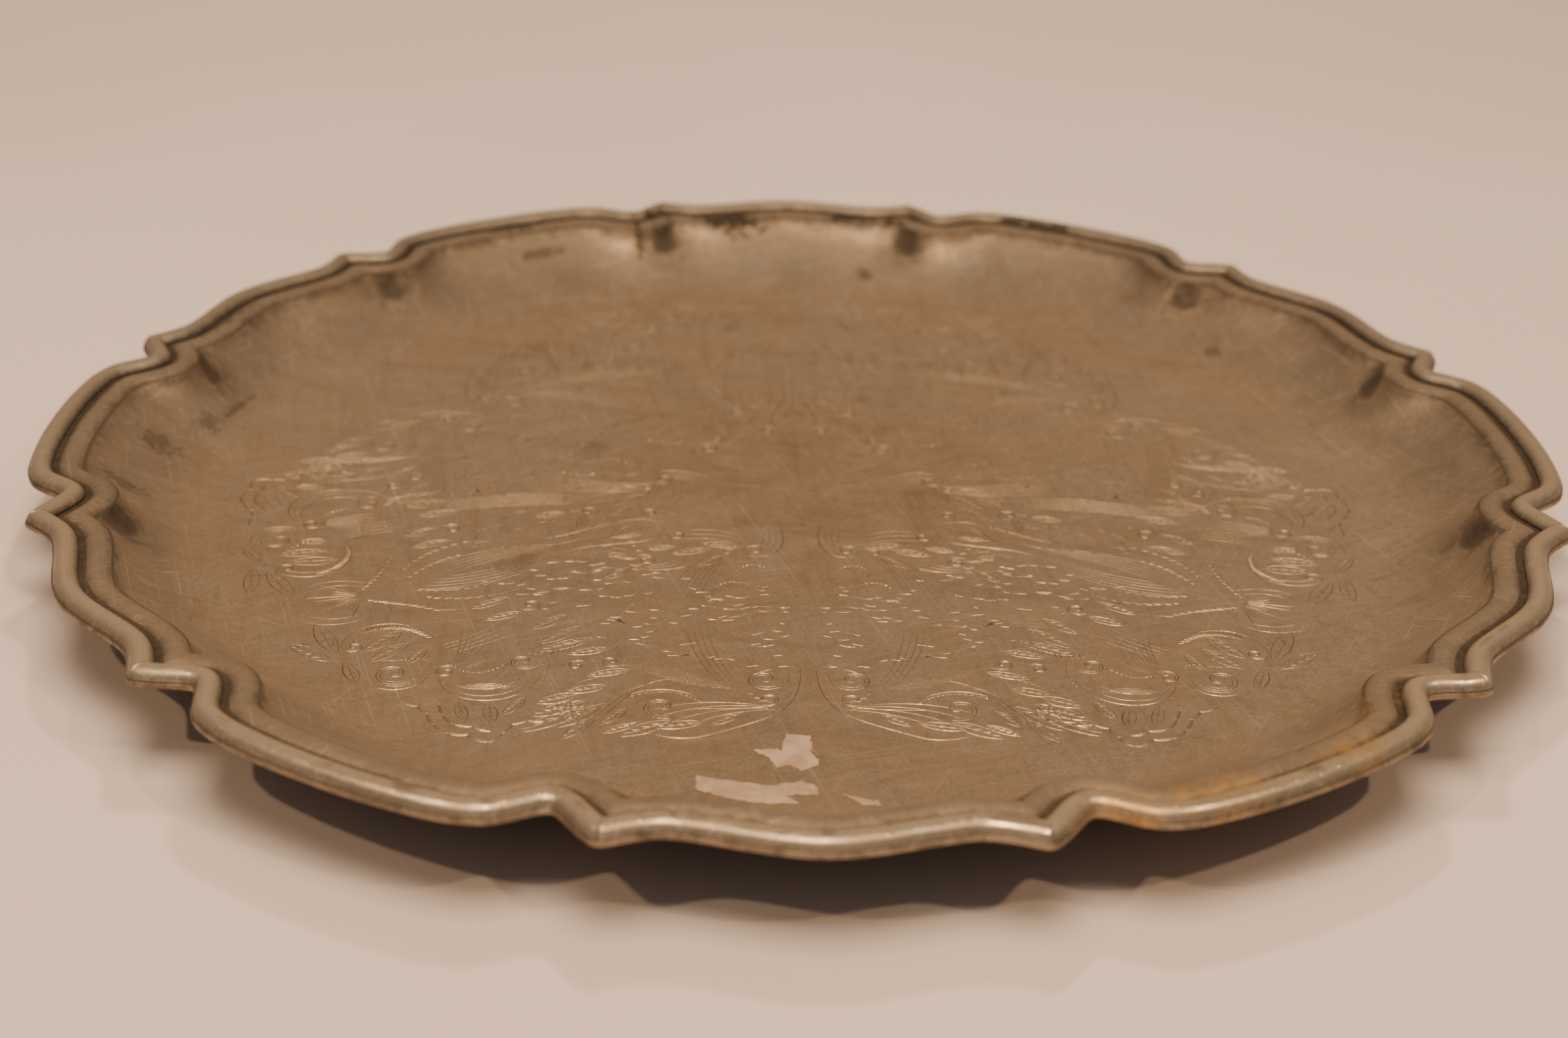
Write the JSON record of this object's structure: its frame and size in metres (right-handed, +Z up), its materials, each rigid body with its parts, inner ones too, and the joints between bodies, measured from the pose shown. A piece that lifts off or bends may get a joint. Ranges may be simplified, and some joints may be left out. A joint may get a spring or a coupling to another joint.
{
  "type": "serving tray",
  "caption": "Round plated metal serving tray with a scalloped pie-crust border, a shallow fluted wall and a flat floor that carries cups, plates or glasses.",
  "frame": {"origin": "centre of the flat underside, on the table the tray rests on", "axes": "+Z up out of the dish; -Y through the middle of a border bracket; +X through the middle of a border arc"},
  "size_m": [0.3196, 0.315, 0.0176],
  "materials": {
    "body_silver": "tarnished silver plate, engraved and worn",
    "border_silver": "silver plate, polished on top and dark in the groove",
    "lead_alloy": "dull cast lead-tin alloy, hidden"
  },
  "bodies": {
    "root": {"tray_body": "body_silver", "border_bracket_1": "border_silver", "bracket_filling_1": "lead_alloy", "border_arc_1": "border_silver", "arc_filling_1": "lead_alloy", "border_bracket_2": "border_silver", "bracket_filling_2": "lead_alloy", "border_arc_2": "border_silver", "arc_filling_2": "lead_alloy", "border_bracket_3": "border_silver", "bracket_filling_3": "lead_alloy", "border_arc_3": "border_silver", "arc_filling_3": "lead_alloy", "border_bracket_4": "border_silver", "bracket_filling_4": "lead_alloy", "border_arc_4": "border_silver", "arc_filling_4": "lead_alloy", "border_bracket_5": "border_silver", "bracket_filling_5": "lead_alloy", "border_arc_5": "border_silver", "arc_filling_5": "lead_alloy", "border_bracket_6": "border_silver", "bracket_filling_6": "lead_alloy", "border_arc_6": "border_silver", "arc_filling_6": "lead_alloy"}
  },
  "joints": []
}
